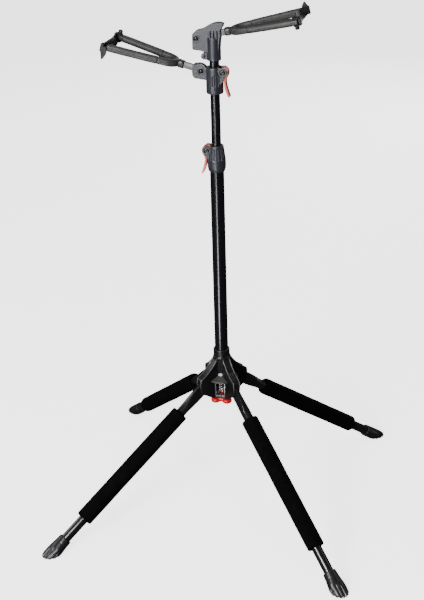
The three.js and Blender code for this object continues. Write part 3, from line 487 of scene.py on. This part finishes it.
# ---------------------------------------------------------------- lower head
def lhead_r(t, z):
    r = float(np.interp(z, [974, 974.6, 976, 1027, 1028.5, 1029], [16.8, 17.5, 17.9, 17.9, 17.4, 16.9]))
    g = 0
    for c in (-110, -92, -74, -56, 60, 78, 96, 114):
        g = max(g, 1.6 * smoothstep(3.6 - abs(t - c), 0, 2.0) * smoothstep(z, 990, 993) * (1 - smoothstep(z, 1010, 1014)))
    return min(r - g, pocket(t, z, 19.1, 1019.3, 1))
zs = np.unique(np.concatenate([[974, 974.6, 975.3], np.linspace(976, 1028, 84), [1028.5, 1029]]))
parts = [collar(list(zs), lhead_r, lambda z: 10.42 if z < 975.4 else (13.35 if z < 1004 else 10.3))]
lout = [(-12, 1029), (-17.7, 1028.1), (-20.5, 1031.2), (-23.9, 1033.1), (-28, 1034.4), (-31.7, 1034.9), (-38.7, 1033.8), (-42.0, 1034.0), (-43.6, 1032.6), (-44.4, 1028), (-45.5, 1020.3), (-45.0, 1012.5), (-43.9, 1009.2),
        (-41.8, 1006.6), (-39.3, 1005.2), (-17, 1002.3), (-12, 1002.3)]
for y0, y1 in ((-9.6, -4.6), (4.6, 9.6)): parts.append(plate(lout, y0, y1))
parts.append(plate([(-12, 1002.3), (-17, 1002.3), (-39.3, 1005.2), (-41.8, 1006.6), (-43.9, 1009.2), (-45.0, 1012.5), (-45.3, 1018.9), (-27.9, 1014.0), (-26, 1013.8), (-22.4, 1014.9), (-19.9, 1017.6), (-19.2, 1020.6), (-18.6, 1026), (-12, 1028)], -4.7, 4.7))
parts += ear_parts(1, 19.1, 1019.3, 16.4, 996.0)
for y0, y1 in ((-10.4, -9.4), (9.4, 10.4)):
    v, f = lathe([(4.9, y0), (6.9, y0), (6.9, y1), (4.9, y1)], 60); parts.append((v[:, [0, 2, 1]] + np.array([-26.1, 0, 1020.6]), f))
finish_piece(mesh_object("lower_head_fine", parts, voxel=0.42, smooth=4, decimate=0.4), "lower_head", "head", "lower_head")

# ---------------------------------------------------------------- upper head
def uhead_r(t, z):
    r = float(np.interp(z, [1042.7, 1043.2, 1046.3, 1047, 1090, 1092], [13.9, 14.5, 14.5, 14.3, 14.3, 14.0]))
    if abs((t % 360) - 180) < 5 and z < 1058: r = 10.32
    return r
zs = np.unique(np.concatenate([[1042.7, 1043.2], np.linspace(1044, 1080.3, 60)]))
parts = [collar(list(zs), uhead_r, lambda z: 10.3), cyl(14.3, 1080.3, 1090.3, n=96)]
uout = [(-42.9, 1094.6), (-41.4, 1097.4), (-38.4, 1100.4), (-35, 1102.5), (-30.5, 1103.6), (-25.6, 1104.8), (-20, 1107.3), (-15.1, 1110.1), (-9.6, 1113.4), (-4.6, 1116), (1.5, 1118.2), (7.8, 1119.2), (14.5, 1119.1), (20.2, 1117.9),
        (21.1, 1116), (20.2, 1112.6), (18.2, 1108.6), (15.9, 1106), (15.7, 1100), (16.4, 1093.5), (14, 1084), (12, 1062), (-12, 1058.5), (-16.6, 1060), (-26.9, 1062.6), (-40.5, 1063.8), (-42.4, 1064.8), (-43.1, 1066.8)]
for y0, y1 in ((-9.6, -4.6), (4.6, 9.6)): parts.append(plate(uout, y0, y1))
# the side walls of the visor stay outside the end fitting's swing
parts.append(plate([(-43.1, 1066.8), (-42.9, 1086), (-41.7, 1087.6), (-40.3, 1083.6), (-37.8, 1081.4), (-34.7, 1080.5), (0, 1088.3), (16.2, 1092.0), (14, 1084), (12, 1062), (-12, 1058.5), (-16.6, 1060), (-26.9, 1062.6), (-40.5, 1063.8), (-42.4, 1064.8)], -4.7, 4.7))
# split clamp lug
for y0, y1 in ((-6, -1), (1, 6)):
    parts.append(plate(circle(-19.4, 1050.7, 7, 90, 270, 16) + [(-12.2, 1043.7), (-12.2, 1057.7)], y0, y1))
# fins where the barrel meets the housing
for x in (-5.0, 1.6, 8.8):
    parts.append(plate([(x - 1.2, 1087), (x + 1.2, 1087), (x + 1.2, 1101), (x, 1103.8), (x - 1.2, 1101)], -14.2, -9.2))
    parts.append(plate([(x - 1.2, 1087), (x + 1.2, 1087), (x + 1.2, 1101), (x, 1103.8), (x - 1.2, 1101)], 9.2, 14.2))
for y0, y1 in ((-10.4, -9.4), (9.4, 10.4)):
    v, f = lathe([(4.9, y0), (6.9, y0), (6.9, y1), (4.9, y1)], 60); parts.append((v[:, [0, 2, 1]] + np.array([-34.7, 0, 1087.4]), f))
finish_piece(mesh_object("upper_head_fine", parts, voxel=0.42, smooth=4, decimate=0.4), "mast", "head", "upper_head")
def bolt(name, px, pz, body, node):
    ang = np.linspace(0, 2 * np.pi, 48, endpoint=False)
    def rg(q, y): return [(px + q * math.cos(a), y, pz + q * math.sin(a)) for a in ang]
    rings = [rg(0.02, -12.4), rg(1.6, -12.3), rg(3.0, -11.9), rg(4.1, -11.2), rg(4.8, -10.2), rg(4.9, -9.7), rg(4, -9.65), rg(4, 10), rg(0.02, 10)]
    o = mesh_object(name, [grid(rings), cyl(4.9, 9.9, 12, "y", (px, pz), n=6)], bevel=0.12, angle=45)
    return finish_piece(o, body, "bolt", node)
bolt("lower_arm_bolt", -26.1, 1020.6, "lower_head", "lower_arm_pin")
bolt("upper_arm_bolt", -34.7, 1087.4, "mast", "upper_arm_pin")
refined("clamp_screw", "bolt", 0.4); refined("clamp_nut", "bolt", 0.3)

# ---------------------------------------------------------------- arms and yokes
ROOT = [(9.0, 0.0, 0), (11.5, 6, 0), (15.2, 11.2, 0), (21, 15.4, 0), (30, 18.6, 0), (46, 21.5, 0)]
PRONG = [(46.3, 21.56, 0), (70, 25.9, 0), (94, 29.9, 0), (118, 33.7, 0), (139, 36.7, 0)]
PRONG_A = PRONG[:-1] + [(141.3, 37.0, 0)]
PRONG_B = PRONG + [(150.6, 38.1, 0)]
def flipy(p): return [(x, -y, z) for x, y, z in p]
def yoke(pre, px, pz, heading, tilt, length, roll, flip):
    A = T(px, 0, pz) @ R("Z", heading) @ R("Y", -tilt)
    F = A @ T(length, 0, 0) @ R("X", roll)
    sg = -1 if flip else 1
    # flat arm
    pts = circle(0, 0, 6.3, 90, 270, 20) + [(length - 2.4, -6.3), (length - 2.4, 6.3)]
    o = mesh_object(f"{pre}_arm_fine", [move(plate(pts, -4.2, 4.2), A)], bevel=0.7, angle=50)
    finish_piece(o, f"{pre}_arm", "shank", f"{pre}_arm")
    st = [(length - 6, 6.4, 7.6, 3.2), (length - 5.3, 7.1, 8.3, 3.2), (length - 4.4, 7.4, 8.6, 3.2), (length + 4.6, 7.4, 8.6, 3.2), (length + 5.5, 7.1, 8.3, 3.2), (length + 6.1, 6.4, 7.6, 3.2)]
    o = mesh_object(f"{pre}_ferrule_fine", [move(grid([sec(*s, n=64) for s in st]), A)], angle=50)
    finish_piece(o, f"{pre}_arm", "dark", f"{pre}_ferrule")
    # forked frame: root, two cores and an eye for the peg
    parts = []
    for f in (lambda p: p, flipy):
        pth = smooth_path(f(ROOT), 40)
        ra, rz, rp = (7.6, 7.6, 2.2) if f is flipy else (6.2, 7.6, 3.2)
        parts.append(sweep(pth, lambda i: ovl(5.6 + (ra - 5.6) * smoothstep(i, 12, 39), 7.7 + (rz - 7.7) * smoothstep(i, 12, 39), 3.2 + (rp - 3.2) * smoothstep(i, 12, 39), 36)))
        parts.append(sweep(smooth_path(f([(40, 20.4, 0)] + PRONG + [(149, 38, 0)]), 20), ovl(3.6, 3.6, n=24)))
    parts.append(grid([sec(x, hy, hz, 3, 40) for x, hy, hz in ((6.5, 6.2, 7.0), (7.2, 6.8, 7.6), (12, 7.6, 7.7), (16, 8.5, 7.6))]))
    parts.append(sweep(smooth_path([(139, -36.8, 0), (146, -37.5, 0), (152.6, -38.2, 0)], 14), lambda i: ovl(7.4 if i < 13 else 6.6, 6.0 if i < 13 else 5.4, 3.4, 36)))
    o = mesh_object(f"{pre}_yoke_frame_fine", [move(p, F) for p in parts], voxel=0.45, smooth=5, decimate=0.4)
    finish_piece(o, f"{pre}_yoke", "pad", f"{pre}_yoke_frame")
    # pads
    def pad(path, a, b, p, name, node, x_end):
        pth = smooth_path(path, 60)
        def s(i):
            u = i / 59; e = 1.0
            if i < 2: e = (0.965, 0.99)[i]
            if i > 56: e = (0.99, 0.95, 0.84)[i - 57]
            w = 0.15 * noise.noise(Vector((u * 9, a, 3.3)))
            return ovl(a * e + w, b * e + w, p, 40)
        o = mesh_object(name, [move(sweep(pth, s), F)], angle=None)
        finish_piece(o, f"{pre}_yoke", "pad", node)
    pad(flipy(PRONG_A), 8.0, 8.0, 2.0, f"{pre}_pad_a_fine", f"{pre}_pad_a", 139)
    pad(PRONG_B, 6.4, 7.7, 3.2, f"{pre}_pad_b_fine", f"{pre}_pad_b", 141)
    # strap: bowed band, two eyes on the peg, rolled end and pull tail
    P = (148, -37.5)
    band = smooth_path([(154.2, -40, 0), (153.6, -35, 0), (151.6, -26, 0), (149.6, -14, 0), (149.0, 0, 0), (149.8, 11, 0), (152.0, 21, 0), (155.0, 30, 0), (157.4, 38, 0), (158.4, 44, 0)], 60)
    v, f = sweep(band, lambda i: ovl(1.9 + 0.4 * smoothstep(i, 44, 58), 8.6, 6, 28))
    lean = np.clip((v[:, 1] + 44) / 12, 0, 1) * np.clip((34 - v[:, 1]) / 18, 0, 1)
    v[:, 0] += lean * 4.6 * sg * v[:, 2] / 8.6
    parts = [(v, f)]
    for z0, z1 in ((6.15, 8.7), (-8.7, -6.15)):
        parts.append(cyl(6.6, z0, z1, at=P, n=48))
        parts.append(platez([(148, -43.6), (153, -43.6), (156.4, -41), (157.8, -37), (157.6, -31.8), (154.2, -30.6), (148, -31.2)], z0, z1))
    parts.append(box(154.2, 157.4, -40.6, -33, -8.7, 8.7))
    parts.append(cyl(3.6, -8.5, 8.5, at=(158.2, 43.6), n=40, chamfer=1.0))
    parts.append(cyl(2.2, -7.5, 7.5, at=(160.4, 39.0), n=32, chamfer=0.8))
    # pull tail, a flat tapering tongue on the outer side of the prong
    reach = 24.6 if not flip else 16.8
    tail = [(147.2, -7.0), (147.8, -0.54 * reach), (153.2, -reach), (155.8, -reach), (158.6, -0.62 * reach), (161.2, -7.0), (161.0, 3.0), (150, 3.0)]
    v, f = plate(tail, 44.9, 47.9); v[:, 2] *= sg
    parts.append((v, f))
    parts.append(cyl(2.6, -9.6, 7.4, at=(160.6, 44.6), n=32, chamfer=0.8))
    for y in (-20, -25.5):
        parts.append(move(cyl(1.5, -10.6, -6, at=(0, 0), n=20, chamfer=0.4), T(147.2 + (0.3 if y < -22 else 0), y, 0) @ (R("X", 180) if flip else np.eye(4))))
    o = mesh_object(f"{pre}_strap_fine", [move(p, F) for p in parts], voxel=0.4, smooth=5, decimate=0.45)
    finish_piece(o, f"{pre}_strap", "strap", f"{pre}_strap")
    # peg
    hk = 2.0 if flip else 1.4
    Q = F @ T(148, -37.5, 0) @ (R("X", 180) if flip else np.eye(4))
    parts = [spin([(0, -11), (3.6, -11), (4.2, -10.5), (4.2, -9.2), (3.8, -8.9), (2.45, -8.8), (2.45, 10.9 - hk), (4.1, 10.9 - hk), (4.7, 11.4 - hk), (4.7, 15.6 - hk), (4.2, 16.9 - hk), (3.0, 17.6 - hk), (0, 17.8 - hk)], 48)]
    o = mesh_object(f"{pre}_peg_fine", [move(p, Q) for p in parts], angle=45)
    finish_piece(o, f"{pre}_strap", "strap", f"{pre}_peg")
yoke("lower", -26.1, 1020.6, 180, 15.5, 45, -3.3, False)
yoke("upper", -34.7, 1087.4, 0, 12.8, 66.5, 3.3, True)

# ---------------------------------------------------------------- floor, light, camera
def floor_material(name, color, glow):
    m, nt, b, tc = nodes_of(name)
    n = noise_node(nt, tc, 2.0, 2); c = ramp(nt, n.outputs["Fac"], [(0.0, color), (1.0, tuple(x * 0.995 for x in color))])
    nt.links.new(c.outputs["Color"], b.inputs["Base Color"]); b.inputs["Roughness"].default_value = 0.9; b.inputs["Specular IOR Level"].default_value = 0.0
    b.inputs["Emission Color"].default_value = (1, 1, 1, 1); b.inputs["Emission Strength"].default_value = glow
    return m
me = bpy.data.meshes.new("floor"); s = 30.0
me.from_pydata([(-s, -s, -0.0005), (s, -s, -0.0005), (s, s, -0.0005), (-s, s, -0.0005)], [], [(0, 1, 2, 3)])
floor = bpy.data.objects.new("floor", me); bpy.context.scene.collection.objects.link(floor)
me.materials.append(floor_material("floor_paint", (0.93, 0.93, 0.93), 2.7)); floor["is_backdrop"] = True
# the bright sweep is seen, and doesn't throw its light back on the stand
floor.visible_diffuse = False; floor.visible_glossy = False

w = bpy.data.worlds.new("studio"); bpy.context.scene.world = w; w.use_nodes = True
wn = w.node_tree; bg = wn.nodes["Background"]; bg.inputs["Color"].default_value = (1, 1, 1, 1)
lp = wn.nodes.new("ShaderNodeLightPath"); mr = wn.nodes.new("ShaderNodeMapRange")
mr.inputs["To Min"].default_value = 0.05; mr.inputs["To Max"].default_value = 3.2
wn.links.new(lp.outputs["Is Camera Ray"], mr.inputs["Value"]); wn.links.new(mr.outputs["Result"], bg.inputs["Strength"])
def area(name, loc, target, sx, sy, power, spread=180):
    l = bpy.data.lights.new(name, "AREA"); l.shape = "RECTANGLE"; l.size = sx; l.size_y = sy; l.energy = power; l.spread = rad(spread)
    o = bpy.data.objects.new(name, l); bpy.context.scene.collection.objects.link(o)
    o.location = loc; o.rotation_euler = (Vector(target) - Vector(loc)).to_track_quat("-Z", "Y").to_euler()
    o.visible_camera = False
    return o
area("key", (-0.75, -3.1, 1.75), (0, 0, 0.75), 0.9, 1.1, 120)
area("front_card", (-0.58, -2.36, 0.50), (0, 0, 1.07), 0.62, 0.62, 1.3)
area("strip", (-1.35, -2.9, 1.2), (0, 0, 0.6), 0.12, 2.6, 62)
low = area("low_card", (-0.16, -2.25, 0.03), (-0.16, -2.25, 3.0), 0.2, 3.0, 40)
area("side_left", (-3.4, 0.3, 1.6), (0, 0, 0.6), 1.2, 2.0, 24)
area("side_right", (3.4, 0.6, 1.6), (0, 0, 0.6), 1.2, 2.0, 20)
area("back", (0.5, 3.6, 1.9), (0, 0, 0.6), 1.8, 2.0, 55)
area("top", (0.0, -0.2, 3.6), (0, 0, 0.6), 1.2, 1.2, 22)

cam = bpy.data.cameras.new("camera"); co = bpy.data.objects.new("camera", cam); bpy.context.scene.collection.objects.link(co)
cam.sensor_width = 36.0; cam.lens = 1229.2028557 / 600 * 36.0; cam.clip_end = 200
Rv = Vector((0.97150116, 0.23560943, -0.02595543)); Uv = Vector((-0.07713982, 0.41780072, 0.90525798)); Fv = Vector((-0.22413151, 0.87745698, -0.42406876))
co.matrix_world = Matrix(((Rv.x, Uv.x, -Fv.x, 0.59362955), (Rv.y, Uv.y, -Fv.y, -2.39874573), (Rv.z, Uv.z, -Fv.z, 1.66081975), (0, 0, 0, 1)))
bpy.context.scene.camera = co

SIZE["visual_box"] = [[float(c) for c in p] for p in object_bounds()]
